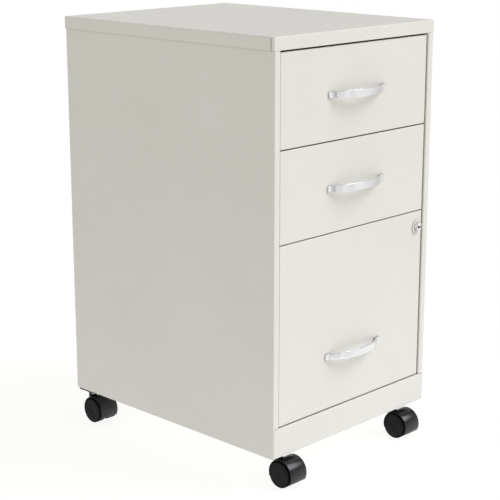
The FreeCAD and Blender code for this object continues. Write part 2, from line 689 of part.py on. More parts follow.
def all_parts():
    left_panel = left_side_panel()
    left_posts = left_slide_posts()
    parts = {
        "top_cap": top_cap(),
        "left_side_panel": left_panel,
        "right_side_panel": mirrored(left_panel),
        "back_panel": back_panel(),
        "base_panel": base_panel(),
        "front_bottom_rail": front_bottom_rail(),
        "left_slide_posts": left_posts,
        "right_slide_posts": mirrored(left_posts),
        "lock_housing": lock_housing(),
        "lock_nut": lock_nut(),
        "lock_plug": lock_plug(),
        "lock_cam": lock_cam(),
        "caster_plates": caster_plates(),
        "caster_kingpins": caster_kingpins(),
        "caster_plate_screws": caster_plate_screws(),
    }
    cabinet_pins = []
    for name, drawer in DRAWERS.items():
        mid = slide_height(drawer)
        parts[name + "_drawer_front"] = drawer_front(name, drawer)
        parts[name + "_drawer_tray"] = drawer_tray(name, drawer)
        parts[name + "_drawer_handle"] = handle(drawer)
        parts[name + "_drawer_handle_screws"] = handle_screws(drawer)
        parts[name + "_drawer_rails"] = drawer_rails(drawer)
        parts[name + "_drawer_roller_pins"] = Part.makeCompound(roller_pins(REAR_ROLLER_Y, mid, True))
        parts[name + "_cabinet_rails"] = cabinet_rails(drawer)
        parts[name + "_front_rollers"] = roller_pair(FRONT_ROLLER_Y, mid, False)
        parts[name + "_rear_rollers"] = roller_pair(REAR_ROLLER_Y, mid, True)
        cabinet_pins += roller_pins(FRONT_ROLLER_Y, mid, False)
    parts["cabinet_roller_pins"] = Part.makeCompound(cabinet_pins)
    for place, (x, y) in caster_places().items():
        parts[place + "_caster_hood"] = caster_hood(x, y)
        parts[place + "_caster_axle"] = caster_axle(x, y)
        parts[place + "_wheel_left"] = caster_wheel(x, y, -1)
        parts[place + "_wheel_right"] = caster_wheel(x, y, 1)
    return parts


os.makedirs("parts", exist_ok=True)
for node, shape in all_parts().items():
    if not shape.isValid():
        print("not valid:", node)
    shape.exportStep("parts/" + node + ".step")
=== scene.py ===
import math

import bmesh
import bpy
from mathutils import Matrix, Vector


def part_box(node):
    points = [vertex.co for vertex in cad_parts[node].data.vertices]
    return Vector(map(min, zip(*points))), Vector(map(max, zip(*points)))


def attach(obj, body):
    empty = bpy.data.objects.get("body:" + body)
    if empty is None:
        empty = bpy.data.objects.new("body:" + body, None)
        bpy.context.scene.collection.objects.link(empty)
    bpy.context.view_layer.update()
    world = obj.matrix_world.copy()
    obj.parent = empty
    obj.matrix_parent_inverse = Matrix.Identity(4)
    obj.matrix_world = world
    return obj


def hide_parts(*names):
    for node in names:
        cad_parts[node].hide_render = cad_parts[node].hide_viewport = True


# Mobile steel filing cabinet: painted sheet body and drawers, satin bow handles, a chrome lock
# and four black twin-wheel casters. Metres, in the CAD frame: the front faces -Y, +Z is up.

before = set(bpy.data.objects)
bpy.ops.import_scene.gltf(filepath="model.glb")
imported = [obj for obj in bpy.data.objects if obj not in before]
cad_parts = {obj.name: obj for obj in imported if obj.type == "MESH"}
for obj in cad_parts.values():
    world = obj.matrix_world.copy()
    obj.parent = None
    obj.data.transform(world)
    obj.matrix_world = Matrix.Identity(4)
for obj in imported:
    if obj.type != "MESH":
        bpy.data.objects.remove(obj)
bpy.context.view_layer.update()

MM = 0.001
DRAWERS = ("top", "middle", "file")
CASTERS = ("front_left", "front_right", "rear_left", "rear_right")

# bow handles, as in the CAD strap
STRAP_THICKNESS = 3.0 * MM
STRAP_CROWN = 0.06 * MM
STRAP_EDGE_RADIUS = 0.28 * MM
STRAP_END_RADIUS = 1.2 * MM
STRAP_END_THINNING = 0.5 * MM
STRAP_STEP = 1.6 * MM
PAD_START = 54.5 * MM
PAD_HALF_HEIGHT = 4.7 * MM
MIDDLE_HALF_HEIGHT = 5.8 * MM
KNUCKLE_X = 53.3 * MM
KNUCKLE_RISE = 4.0 * MM
BOW_SLOPE = 0.5
BOW_RADIUS = 108.0 * MM
FOOT_RADIUS = 2.0 * MM
KNUCKLE_RADIUS = 2.5 * MM

# lock
PLUG_RADIUS = 5.6 * MM
PLUG_FIT = 0.05 * MM
BARREL_RADIUS = 8.0 * MM
DISH_OUTER = 9.6 * MM
DISH_INNER = 7.4 * MM
DISH_DEPTH = 1.2 * MM
KEYWAY_HALF_WIDTH = 4.2 * MM
KEYWAY_HALF_HEIGHT = 1.2 * MM
KEYWAY_END_RADIUS = 1.9 * MM
KEYWAY_NARROWING = 0.95
KEYWAY_DEPTH = 7.0 * MM
KEYWAY_LIP = 0.12 * MM
KEYWAY_END_STEPS = 12
PLUG_EDGE = 0.9 * MM
BORE_EDGE = 0.15 * MM
DISH_EDGE = 0.5 * MM
BEZEL_EDGE = 0.85 * MM
BARREL_EDGE = 0.3 * MM
TAIL_RADIUS = 3.0 * MM
TAIL_LENGTH = 4.9 * MM

# casters
AXLE_HEIGHT = 20.6 * MM
TRAIL = 20.0 * MM
HOOD_RADIUS = 23.2 * MM
HOOD_SHELL = 1.2 * MM
HOOD_HALF_WIDTH = 17.6 * MM
HOOD_WEB = 4.3 * MM
HOOD_OUTER_EDGE = 1.0 * MM
HOOD_INNER_EDGE = 0.35 * MM
HOOD_FILLET = 0.8 * MM
HOOD_ROOT = 3.0 * MM
HOOD_STEPS = 56
WEB_SET_IN = 1.0 * MM
WEB_INSET = 0.05 * MM
WEB_STEPS = 40
REAR_SKIRT = 13.0 * MM
FRONT_SKIRT = 9.5 * MM
BOSS_RADIUS = 7.0 * MM
BOSS_FOOT = 26.0 * MM
BOSS_FLARE = 1.2 * MM
BOSS_FLARE_HEIGHT = 4.0 * MM
BOSS_TOP_EDGE = 0.7 * MM
BOSS_BORE = 3.1 * MM
COLLAR_GROOVE = 0.5 * MM
COLLAR_GROOVE_EDGE = 0.2 * MM
COLLAR_LIP_EDGE = 0.3 * MM
COLLAR_LEVELS = (3.4 * MM, 3.0 * MM, 2.6 * MM, 2.2 * MM)
WHEEL_RADIUS = 20.59 * MM
WHEEL_INNER = 4.7 * MM
WHEEL_OUTER = 19.4 * MM
WHEEL_BORE = 3.05 * MM
WHEEL_HUB = 7.0 * MM
WHEEL_FACE_WALL = 3.0 * MM
TREAD_WALL = 4.0 * MM
TREAD_INNER_EDGE = 1.3 * MM
TREAD_OUTER_EDGE = 1.4 * MM
RING_WIDTH = 2.2 * MM
RING_GROOVE = 0.5 * MM
RING_GROOVE_WIDTH = 0.9 * MM
DISC_RISE = 0.1 * MM
DISC_DISH = 0.45 * MM
CENTRE_RADIUS = 4.2 * MM
CENTRE_DEPTH = 0.9 * MM
CENTRE_WALL = 2.6 * MM
CENTRE_CAP = 0.6 * MM
SHADED_RIM_WIDTH = 2.0 * MM
SHADED_RIM_DEPTH = 4.0 * MM

# camera and room
CAMERA_PLACE = (-1.592, -1.542, 0.878)
CAMERA_PITCH = 14.6
CAMERA_YAW = 45.86
CAMERA_LENS = 101.2
CAMERA_REACH = 200.0
SENSOR_WIDTH = 36.0
FLOOR_SIZE = 1.4
AMBIENT_COLOUR = (1.0, 0.965, 0.89)
AMBIENT_BELOW = 0.94
AMBIENT_HORIZON = 0.36
AMBIENT_OVERHEAD = 0.78
AMBIENT_BEHIND = 0.62
BACKDROP_STRENGTH = 1.0
FLOOR_GLOW = 0.90
SUN_WAY = (0.42, -0.44, 0.61)
SUN_COLOUR = (0.99, 1.005, 1.06)
SUN_STRENGTH = 1.80
SUN_SOFTNESS = 34.0

# painted shade darkens the paint where surfaces face each other, or meet, closer than this
SHADE_GAP_REACH = 7.0 * MM
SHADE_CORNER_REACH = 2.6 * MM

# what polished surfaces see round the horizon: share of a full turn from -X through -Y and +X, brightness
SURROUND = (
    (0.000, 0.50),
    (0.140, 0.50),
    (0.200, 0.74),
    (0.250, 0.82),
    (0.273, 1.00),
    (0.302, 0.84),
    (0.330, 0.98),
    (0.375, 0.95),
    (0.410, 0.90),
    (0.460, 0.78),
    (0.500, 0.66),
    (0.620, 0.60),
    (0.750, 0.74),
    (0.900, 0.70),
    (1.000, 0.50),
)
SURROUND_TINT = (1.0, 0.99, 0.98)
UPPER_DIM = 0.12
UPPER_FADE = (0.10, 0.45)


# ---------------------------------------------------------------- materials


class Finish:
    """One procedural material on the Principled shader. Textures use object space, in metres."""

    def __init__(self, name, metallic=0.0):
        self.material = bpy.data.materials.new(name)
        self.material.use_nodes = True
        self.tree = self.material.node_tree
        self.shader = self.tree.nodes["Principled BSDF"]
        self.shader.inputs["Metallic"].default_value = metallic
        self.space = self.make("ShaderNodeTexCoord").outputs["Object"]

    def make(self, kind, **settings):
        node = self.tree.nodes.new(kind)
        for key, value in settings.items():
            setattr(node, key, value)
        return node

    def feed(self, node, socket, value):
        """Links an output, or sets a plain value, on a node's input."""
        if isinstance(value, bpy.types.NodeSocket):
            self.tree.links.new(value, node.inputs[socket])
        else:
            node.inputs[socket].default_value = value

    def stretched(self, along):
        """Object space scaled by a vector, for grain that runs one way."""
        node = self.make("ShaderNodeMapping")
        self.feed(node, "Vector", self.space)
        self.feed(node, "Scale", along)
        return node.outputs["Vector"]

    def noise(self, scale, detail=2.0, roughness=0.5, along=None, distortion=0.0):
        node = self.make("ShaderNodeTexNoise")
        self.feed(node, "Vector", self.space if along is None else self.stretched(along))
        self.feed(node, "Scale", scale)
        self.feed(node, "Detail", detail)
        self.feed(node, "Roughness", roughness)
        self.feed(node, "Distortion", distortion)
        return node.outputs["Fac"]

    def cells(self, scale, output="Color"):
        node = self.make("ShaderNodeTexVoronoi")
        self.feed(node, "Vector", self.space)
        self.feed(node, "Scale", scale)
        return node.outputs[output]

    def spread(self, value, low, high, start, end):
        """Maps low..high onto start..end, clamped."""
        node = self.make("ShaderNodeMapRange")
        sockets = ("Value", "From Min", "From Max", "To Min", "To Max")
        for socket, number in zip(sockets, (value, low, high, start, end)):
            self.feed(node, socket, number)
        return node.outputs["Result"]

    def sum(self, operation, first, second):
        node = self.make("ShaderNodeMath", operation=operation)
        self.feed(node, 0, first)
        self.feed(node, 1, second)
        return node.outputs["Value"]

    def blend(self, amount, first, second):
        node = self.make("ShaderNodeMix", data_type="RGBA")
        self.feed(node, 0, amount)
        for socket, colour in ((6, first), (7, second)):
            self.feed(node, socket, colour if isinstance(colour, bpy.types.NodeSocket) else (*colour, 1.0))
        return node.outputs[2]

    def edges(self, radius):
        """1 along convex and concave edges, 0 on flat surface."""
        soft = self.make("ShaderNodeBevel", samples=4)
        self.feed(soft, "Radius", radius)
        true = self.make("ShaderNodeNewGeometry")
        turn = self.make("ShaderNodeVectorMath", operation="DOT_PRODUCT")
        self.feed(turn, 0, soft.outputs["Normal"])
        self.feed(turn, 1, true.outputs["Normal"])
        return self.spread(turn.outputs["Value"], 0.995, 0.86, 0.0, 1.0)

    def shelter(self, distance):
        """Near 0 deep in a narrow gap, 1 on open surface."""
        node = self.make("ShaderNodeAmbientOcclusion", samples=6)
        self.feed(node, "Distance", distance)
        return node.outputs["AO"]

    def mark(self, name):
        """A number stored on the mesh's points."""
        return self.make("ShaderNodeAttribute", attribute_name=name).outputs["Fac"]

    def relief(self, height, distance, under=None):
        node = self.make("ShaderNodeBump")
        self.feed(node, "Height", height)
        self.feed(node, "Distance", distance)
        self.feed(node, "Strength", 1.0)
        if under is not None:
            self.feed(node, "Normal", under)
        return node.outputs["Normal"]

    def done(self, colour, roughness, normal, **constants):
        self.feed(self.shader, "Base Color", colour)
        self.feed(self.shader, "Roughness", roughness)
        self.feed(self.shader, "Normal", normal)
        for socket, value in constants.items():
            self.feed(self.shader, socket.replace("_", " "), value)
        return self.material


def powder_coat():
    """Off-white satin powder coat: faint orange peel, soft clouding, rubbed edges lightened as a painted edge
    highlight, painted shade in corners and gaps.
    """
    f = Finish("off_white_paint")
    clouds = f.noise(5.0, 4.0, 0.55)
    haze = f.noise(38.0, 3.0, 0.6)
    edge = f.edges(1.1 * MM)
    colour = f.blend(f.spread(clouds, 0.3, 0.7, 0.0, 1.0), (0.744, 0.738, 0.709), (0.768, 0.763, 0.737))
    colour = f.blend(f.spread(haze, 0.52, 0.75, 0.0, 0.35), colour, (0.737, 0.726, 0.690))
    # Painted highlight mixed with rubbed paint: the edges are lightened where they would catch light.
    rubbed = f.sum("MULTIPLY", edge, f.spread(f.noise(60.0, 3.0), 0.35, 0.65, 0.1, 0.5))
    colour = f.blend(rubbed, colour, (0.815, 0.811, 0.795))
    chips = f.sum("MULTIPLY", edge, f.spread(f.noise(420.0, 2.0), 0.69, 0.73, 0.0, 0.6))
    colour = f.blend(chips, colour, (0.33, 0.32, 0.30))
    # Painted shade: concave corners and steps go brownish grey where ambient occlusion finds them sheltered.
    corner = f.spread(f.shelter(SHADE_CORNER_REACH), 0.92, 0.55, 0.0, 0.75)
    colour = f.blend(corner, colour, (0.45, 0.43, 0.38))
    # Painted shade: narrow gaps go brown, then near black deep inside, from ambient occlusion.
    open_sky = f.shelter(SHADE_GAP_REACH)
    colour = f.blend(f.spread(open_sky, 0.42, 0.18, 0.0, 0.4), colour, (0.50, 0.475, 0.41))
    colour = f.blend(f.spread(open_sky, 0.20, 0.04, 0.0, 1.0), colour, (0.006, 0.006, 0.005))
    rough = f.spread(f.noise(16.0, 5.0, 0.65), 0.3, 0.7, 0.36, 0.46)
    rough = f.sum("SUBTRACT", rough, f.sum("MULTIPLY", edge, 0.08))
    peel = f.relief(f.noise(520.0, 2.0, 0.45), 0.03 * MM)
    waves = f.relief(f.noise(9.0, 1.0, 0.3), 0.12 * MM, peel)
    return f.done(colour, rough, waves, Specular_IOR_Level=0.42)


def zinc_plate():
    """Zinc-plated sheet: small spangle, rolling streaks along the rails and duller rubbed edges."""
    f = Finish("zinc_steel", 1.0)
    grain = f.noise(1.0, 3.0, 0.6, along=(900.0, 14.0, 900.0))
    spangle = f.cells(170.0)
    tone = f.make("ShaderNodeSeparateColor")
    f.feed(tone, "Color", spangle)
    colour = f.blend(tone.outputs["Red"], (0.56, 0.57, 0.585), (0.67, 0.68, 0.69))
    colour = f.blend(f.spread(grain, 0.35, 0.7, 0.0, 0.45), colour, (0.50, 0.51, 0.52))
    stain = f.spread(f.noise(30.0, 4.0, 0.6), 0.55, 0.75, 0.0, 0.4)
    colour = f.blend(stain, colour, (0.47, 0.465, 0.45))
    rough = f.sum("ADD", f.spread(grain, 0.3, 0.7, 0.30, 0.44), f.sum("MULTIPLY", stain, 0.2))
    rough = f.sum("SUBTRACT", rough, f.sum("MULTIPLY", f.edges(0.8 * MM), 0.1))
    return f.done(colour, rough, f.relief(grain, 0.02 * MM), Anisotropic=0.25)


def satin_chrome():
    """Satin chrome strap: hairline brushing along its length, handled smooth in the middle of the bow."""
    f = Finish("satin_chrome", 1.0)
    hair = f.noise(1.0, 3.0, 0.65, along=(60.0, 60.0, 5200.0))
    touch = f.mark("handled")
    smear = f.noise(120.0, 4.0, 0.6)
    colour = f.blend(f.spread(hair, 0.3, 0.7, 0.0, 1.0), (0.80, 0.80, 0.815), (0.88, 0.88, 0.895))
    handled = f.sum("MULTIPLY", touch, f.spread(smear, 0.45, 0.7, 0.0, 0.3))
    colour = f.blend(handled, colour, (0.78, 0.775, 0.78))
    rough = f.sum("ADD", f.spread(hair, 0.3, 0.7, 0.12, 0.18), f.spread(smear, 0.4, 0.7, 0.0, 0.05))
    rough = f.sum("SUBTRACT", rough, f.sum("MULTIPLY", touch, 0.04))
    rough = f.sum("SUBTRACT", rough, f.sum("MULTIPLY", f.edges(0.6 * MM), 0.05))
    return f.done(colour, rough, f.relief(hair, 0.008 * MM), Anisotropic=0.35)


def lock_chrome():
    """Polished chrome with fine key scratches; the keyway's inside is painted near black as painted shade."""
    f = Finish("lock_chrome", 1.0)
    scratches = f.noise(1.0, 4.0, 0.7, along=(1500.0, 1500.0, 9000.0))
    smear = f.noise(420.0, 3.0)
    colour = f.blend(f.spread(smear, 0.35, 0.7, 0.0, 1.0), (0.93, 0.93, 0.95), (0.86, 0.86, 0.89))
    # Painted shade: the keyway's inner walls and floor, marked 'recess', are coloured near black.
    colour = f.blend(f.mark("recess"), colour, (0.012, 0.012, 0.013))
    worn = f.sum("MULTIPLY", f.edges(0.4 * MM), 0.05)
    rough = f.sum("ADD", f.spread(scratches, 0.45, 0.75, 0.09, 0.2), worn)
    return f.done(colour, rough, f.relief(scratches, 0.004 * MM))


def black_steel():
    """Black e-coated steel with bright rubbed edges."""
    f = Finish("black_steel", 0.0)
    grit = f.noise(700.0, 3.0, 0.6)
    edge = f.sum("MULTIPLY", f.edges(0.5 * MM), f.spread(f.noise(240.0, 3.0), 0.5, 0.68, 0.0, 0.55))
    cloud = f.spread(f.noise(60.0, 3.0), 0.3, 0.7, 0.0, 1.0)
    colour = f.blend(cloud, (0.022, 0.022, 0.023), (0.040, 0.040, 0.041))
    colour = f.blend(edge, colour, (0.30, 0.30, 0.30))
    rough = f.spread(grit, 0.3, 0.7, 0.40, 0.56)
    return f.done(colour, rough, f.relief(grit, 0.02 * MM))


def moulded_plastic(name, dark, light, dust, smooth, dull, mould, shine):
    """Moulded black plastic: fine mould texture, scuffed edges, floor dust low down and a wheel rim darkened
    as painted shade.
    """
    f = Finish(name)
    pores = f.noise(mould, 2.0, 0.5)
    cloud = f.noise(90.0, 4.0, 0.6)
    edge = f.edges(0.7 * MM)
    height = f.make("ShaderNodeSeparateXYZ")
    f.feed(height, "Vector", f.space)
    low = f.spread(height.outputs["Z"], 2.0 * MM, 19.0 * MM, 1.0, 0.0)
    colour = f.blend(f.spread(cloud, 0.3, 0.7, 0.0, 1.0), dark, light)
    scuff = f.sum("MULTIPLY", edge, f.spread(f.noise(300.0, 3.0), 0.4, 0.7, 0.05, 0.4))
    colour = f.blend(scuff, colour, (0.05, 0.05, 0.051))
    powder = f.sum("MULTIPLY", low, f.spread(f.noise(150.0, 5.0, 0.7), 0.42, 0.72, 0.0, dust))
    colour = f.blend(powder, colour, (0.22, 0.205, 0.18))
    # Painted shade: the wheel's outer rim, marked 'rim', is coloured near black where the hood shades it.
    rim = f.mark("rim")
    colour = f.blend(rim, colour, (0.0015, 0.0015, 0.0015))
    rough = f.sum("ADD", f.spread(cloud, 0.3, 0.7, smooth, dull), f.sum("MULTIPLY", powder, 0.5))
    rough = f.sum("ADD", rough, f.sum("MULTIPLY", rim, 0.2))
    return f.done(colour, rough, f.relief(pores, 0.012 * MM), Specular_IOR_Level=shine)


def white_nylon():
    """Natural nylon rollers, greyed by grease."""
    f = Finish("white_nylon")
    grease = f.noise(210.0, 4.0, 0.6)
    colour = f.blend(f.spread(grease, 0.45, 0.75, 0.0, 0.6), (0.84, 0.83, 0.79), (0.60, 0.585, 0.54))
    rough = f.spread(grease, 0.35, 0.7, 0.48, 0.30)
    return f.done(colour, rough, f.relief(f.noise(900.0), 0.01 * MM))


FINISHES = {
    "off_white_paint": powder_coat(),
    "zinc_steel": zinc_plate(),
    "satin_chrome": satin_chrome(),
    "lock_chrome": lock_chrome(),
    "black_steel": black_steel(),
    "caster_black": moulded_plastic(
        "caster_black",
        dark=(0.003, 0.003, 0.0035),
        light=(0.006, 0.006, 0.0065),
        dust=0.10,
        smooth=0.23,
        dull=0.31,
        mould=1500.0,
        shine=0.45,
    ),
    "wheel_black": moulded_plastic(
        "wheel_black",
        dark=(0.006, 0.006, 0.0065),
        light=(0.011, 0.011, 0.0115),
        dust=0.12,
        smooth=0.50,
        dull=0.62,
        mould=900.0,
        shine=0.13,
    ),
    "white_nylon": white_nylon(),
}
FLAT_ON_NODES = {
    "zinc_steel": ("rails", "pins", "screws", "nut", "cam", "axle", "kingpins", "slide_posts"),
    "black_steel": ("caster_plates",),
    "white_nylon": ("rollers",),
}


def slot_of(node):
    """The finish of a CAD node, from its name."""
    if node == "front_bottom_rail":
        return "off_white_paint"
    for finish, endings in FLAT_ON_NODES.items():
        if node.endswith(endings):
            return finish
    return "off_white_paint"


def dress_cad_nodes():
    """Gives every CAD node its finish."""
    for name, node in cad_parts.items():
        finish = slot_of(name)
        node.data.materials.clear()
        node.data.materials.append(FINISHES[finish])


# ---------------------------------------------------------------- mesh helpers


def finish_piece(name, mesh, body, finish, replaced, smooth_angle=32.0):
    """Turns a bmesh into a piece that rides on a body and stands for CAD nodes."""
    bmesh.ops.remove_doubles(mesh, verts=mesh.verts, dist=0.001 * MM)
    bmesh.ops.recalc_face_normals(mesh, faces=mesh.faces)
    data = bpy.data.meshes.new(name)
    mesh.to_mesh(data)
    mesh.free()
    data.shade_smooth()
    data.set_sharp_from_angle(angle=math.radians(smooth_angle))
    data.materials.append(FINISHES[finish])
    piece = bpy.data.objects.new(name, data)
    bpy.context.scene.collection.objects.link(piece)
    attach(piece, body)
    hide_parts(*replaced)
    return piece


def skin(mesh, rings, closed_rings=True, closed_loop=False):
    """Quads between rings of points with equal counts."""
    made = [[mesh.verts.new(p) for p in ring] for ring in rings]
    pairs = list(zip(made, made[1:]))
    if closed_loop:
        pairs.append((made[-1], made[0]))
    for near, far in pairs:
        count = len(near)
        for i in range(count if closed_rings else count - 1):
            j = (i + 1) % count
            mesh.faces.new((near[i], near[j], far[j], far[i]))
    return made


def turned(mesh, place, profile, segments=64):
    """A closed profile of (radius, along) points turned right round an axis."""
    rings = []
    for i in range(segments):
        angle = 2.0 * math.pi * i / segments
        rings.append([place(r, h, angle) for r, h in profile])
    return skin(mesh, rings, closed_rings=True, closed_loop=True)


def round_corner(corner, before, after, radius, steps=5):
    """Points of an arc that rounds a plane corner between two neighbours."""
    a = (Vector(before) - Vector(corner)).normalized()
    b = (Vector(after) - Vector(corner)).normalized()
    opening = a.angle(b)
    reach = radius / math.tan(opening / 2.0)
    centre = Vector(corner) + (a + b).normalized() * (radius / math.sin(opening / 2.0))
    start = Vector(corner) + a * reach - centre
    end = Vector(corner) + b * reach - centre
    points = []
    for i in range(steps + 1):
        t = i / steps
        turn = start.angle(end)
        weight = (math.sin((1.0 - t) * turn), math.sin(t * turn))
        points.append(centre + (start * weight[0] + end * weight[1]) / math.sin(turn))
    return points


def eased(outline, steps=5, closed=True):
    """A plane outline of (u, v, radius) points with its corners rounded."""
    points = []
    for i, (u, v, radius) in enumerate(outline):
        inner = closed or 0 < i < len(outline) - 1
        if radius and inner:
            before = outline[i - 1][:2]
            after = outline[(i + 1) % len(outline)][:2]
            points += round_corner((u, v), before, after, radius, steps)
        else:
            points.append(Vector((u, v)))
    return points


# ---------------------------------------------------------------- handles


def strap_line():
    """The strap's centreline in plan as (x, rise) points, from its left end to its right."""
    peak = KNUCKLE_RISE + KNUCKLE_X * BOW_SLOPE
    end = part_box("top_drawer_handle")[1].x
    half = [(-end, 0.0, 0.0), (-PAD_START, 0.0, FOOT_RADIUS), (-KNUCKLE_X, KNUCKLE_RISE, KNUCKLE_RADIUS)]
    outline = half + [(0.0, peak, BOW_RADIUS)] + [(-x, r, e) for x, r, e in reversed(half)]
    corners = eased(outline, steps=14, closed=False)
    line = [corners[0]]
    for point in corners[1:]:
        span = (point - line[-1]).length
        pieces = max(1, round(span / STRAP_STEP))
        start = line[-1].copy()
        line += [start.lerp(point, (i + 1) / pieces) for i in range(pieces)]
    return line


def strap_section(half_height, half_thick):
    """The strap's section as (out, up) points: flat back, softly crowned front and rounded edges."""
    corner = min(STRAP_EDGE_RADIUS, half_thick * 0.9, half_height * 0.9)
    outline = [
        (-half_thick, -half_height, corner),
        (half_thick - STRAP_CROWN, -half_height, corner),
        (half_thick - STRAP_CROWN * 0.25, -half_height * 0.5, 0),
        (half_thick, 0.0, 0),
        (half_thick - STRAP_CROWN * 0.25, half_height * 0.5, 0),
        (half_thick - STRAP_CROWN, half_height, corner),
        (-half_thick, half_height, corner),
    ]
    return eased(outline, steps=4)


def make_handle(drawer):
    """One bow handle: the strap's section carried along its centreline, with rounded ends."""
    node = drawer + "_drawer_handle"
    low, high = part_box(node)
    middle_z = (low.z + high.z) / 2.0
    back = high.y
    line = strap_line()
    mesh = bmesh.new()
    layer = mesh.verts.layers.float.new("handled")
    rings = []
    handled = []
    for i, point in enumerate(line):
        way = (line[min(i + 1, len(line) - 1)] - line[max(i - 1, 0)]).normalized()
        outward = Vector((-way.y, way.x))
        share = min(abs(point.x) / PAD_START, 1.0)
        half_height = MIDDLE_HALF_HEIGHT + (PAD_HALF_HEIGHT - MIDDLE_HALF_HEIGHT) * share * share
        from_end = min((point - line[0]).length, (point - line[-1]).length)
        cut = max(0.0, 1.0 - from_end / STRAP_END_RADIUS)
        half_height -= STRAP_END_RADIUS * (1.0 - math.sqrt(max(0.0, 1.0 - cut * cut)))
        half_thick = STRAP_THICKNESS / 2.0 - STRAP_END_THINNING * cut * cut
        ring = []
        for out, up in strap_section(half_height, half_thick):
            sunk = out - (STRAP_THICKNESS / 2.0 - half_thick)
            spot = point + outward * sunk
            ring.append((spot.x, back - STRAP_THICKNESS / 2.0 - spot.y, middle_z + up))
        rings.append(ring)
        handled += [max(0.0, 1.0 - abs(point.x) / KNUCKLE_X)] * len(ring)
    made = skin(mesh, rings)
    for vert, value in zip([v for ring in made for v in ring], handled):
        vert[layer] = value
    mesh.faces.new(made[0])
    mesh.faces.new(list(reversed(made[-1])))
    finish_piece(drawer + "_bow_handle", mesh, drawer + "_drawer", "satin_chrome", [node], 40.0)


# ---------------------------------------------------------------- lock


def lock_place():
    """The lock axis's x and z, with the y of its bezel's front between them."""
    low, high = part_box("lock_housing")
    return (low.x + high.x) / 2.0, low.y, (low.z + high.z) / 2.0


def around_y(x, z):
    """Places the points of a turned profile round an axis that runs along Y."""
    return lambda r, h, angle: (x + r * math.cos(angle), h, z + r * math.sin(angle))


def make_lock_bezel():
    """The painted bezel with its dished face, and the barrel behind it."""
    x, front, z = lock_place()
    low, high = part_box("lock_housing")
    rim = (high.x - low.x) / 2.0
    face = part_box("file_drawer_front")[0].y
    outline = [
        (PLUG_RADIUS + PLUG_FIT, front + DISH_DEPTH, BORE_EDGE),
        (DISH_INNER, front + DISH_DEPTH, DISH_EDGE),
        (DISH_OUTER, front, DISH_EDGE),
        (rim, front, BEZEL_EDGE),
        (rim, face, 0),
        (BARREL_RADIUS, face, 0),
        (BARREL_RADIUS, high.y, BARREL_EDGE),
        (PLUG_RADIUS + PLUG_FIT, high.y, 0),
    ]
    mesh = bmesh.new()
    turned(mesh, around_y(x, z), eased(outline), 96)
    finish_piece("lock_bezel", mesh, "file_drawer", "off_white_paint", ["lock_housing"])


def keyway_outline(scale=1.0):
    """The keyway seen from the front: a slot with a round pocket at each end."""
    points = []
    sweep = math.pi - math.asin(KEYWAY_HALF_HEIGHT / KEYWAY_END_RADIUS)
    centre = KEYWAY_HALF_WIDTH - KEYWAY_END_RADIUS
    for side in (1.0, -1.0):
        for i in range(KEYWAY_END_STEPS + 1):
            angle = -sweep + 2.0 * sweep * i / KEYWAY_END_STEPS
            u = side * (centre + KEYWAY_END_RADIUS * math.cos(angle))
            points.append((u * scale, side * KEYWAY_END_RADIUS * math.sin(angle) * scale))
    return points


def make_lock_plug():
    """The turning plug: a rounded nose with a real keyway, and the tail that carries the cam."""
    x, _, z = lock_place()
    low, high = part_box("lock_plug")
    nose = low.y
    shoulder = high.y - TAIL_LENGTH
    around = around_y(x, z)
    segments = 72
    mesh = bmesh.new()
    layer = mesh.verts.layers.float.new("recess")
    side = [(PLUG_RADIUS - PLUG_EDGE, nose, 0), (PLUG_RADIUS, nose, PLUG_EDGE), (PLUG_RADIUS, shoulder, 0)]
    profile = eased(side, closed=False)
    profile += [Vector((TAIL_RADIUS, shoulder)), Vector((TAIL_RADIUS, high.y))]
    rings = [[around(r, h, 2.0 * math.pi * i / segments) for i in range(segments)] for r, h in profile]
    made = skin(mesh, rings)
    mesh.faces.new(list(reversed(made[-1])))
    mouth = [mesh.verts.new((x + u, nose, z + v)) for u, v in keyway_outline()]
    inside = keyway_outline(KEYWAY_NARROWING)
    throat = [mesh.verts.new((x + u, nose + KEYWAY_LIP, z + v)) for u, v in inside]
    floor = [mesh.verts.new((x + u, nose + KEYWAY_DEPTH, z + v)) for u, v in inside]
    # marks the keyway's inside for its painted shade
    for vert in throat + floor:
        vert[layer] = 1.0
    count = len(mouth)
    for near, far in ((mouth, throat), (throat, floor)):
        for i in range(count):
            j = (i + 1) % count
            mesh.faces.new((near[i], near[j], far[j], far[i]))
    mesh.faces.new(floor)
    edges = []
    for loop in (made[0], mouth):
        for i, vert in enumerate(loop):
            onward = loop[(i + 1) % len(loop)]
            edges.append(mesh.edges.get((vert, onward)) or mesh.edges.new((vert, onward)))
    bmesh.ops.triangle_fill(mesh, use_beauty=True, use_dissolve=False, edges=edges)
    finish_piece("lock_plug_nose", mesh, "lock_cylinder", "lock_chrome", ["lock_plug"])


# ---------------------------------------------------------------- casters


def around_x(x, y):
    """Places the points of a turned profile round the axle, which runs along X."""
    return lambda r, h, angle: (x + h, y + r * math.cos(angle), AXLE_HEIGHT + r * math.sin(angle))


def caster_centre(place):
    """Where the axle's middle is."""
    low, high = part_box(place + "_caster_axle")
    return (low.x + high.x) / 2.0, (low.y + high.y) / 2.0


def hood_angles(radius, steps):
    """Angles round the axle from the rear skirt, over the top, to the lower front skirt."""
    rear = math.asin((AXLE_HEIGHT - REAR_SKIRT) / radius)
    front = math.asin((AXLE_HEIGHT - FRONT_SKIRT) / radius)
    return [-rear + (math.pi + rear + front) * i / steps for i in range(steps + 1)]


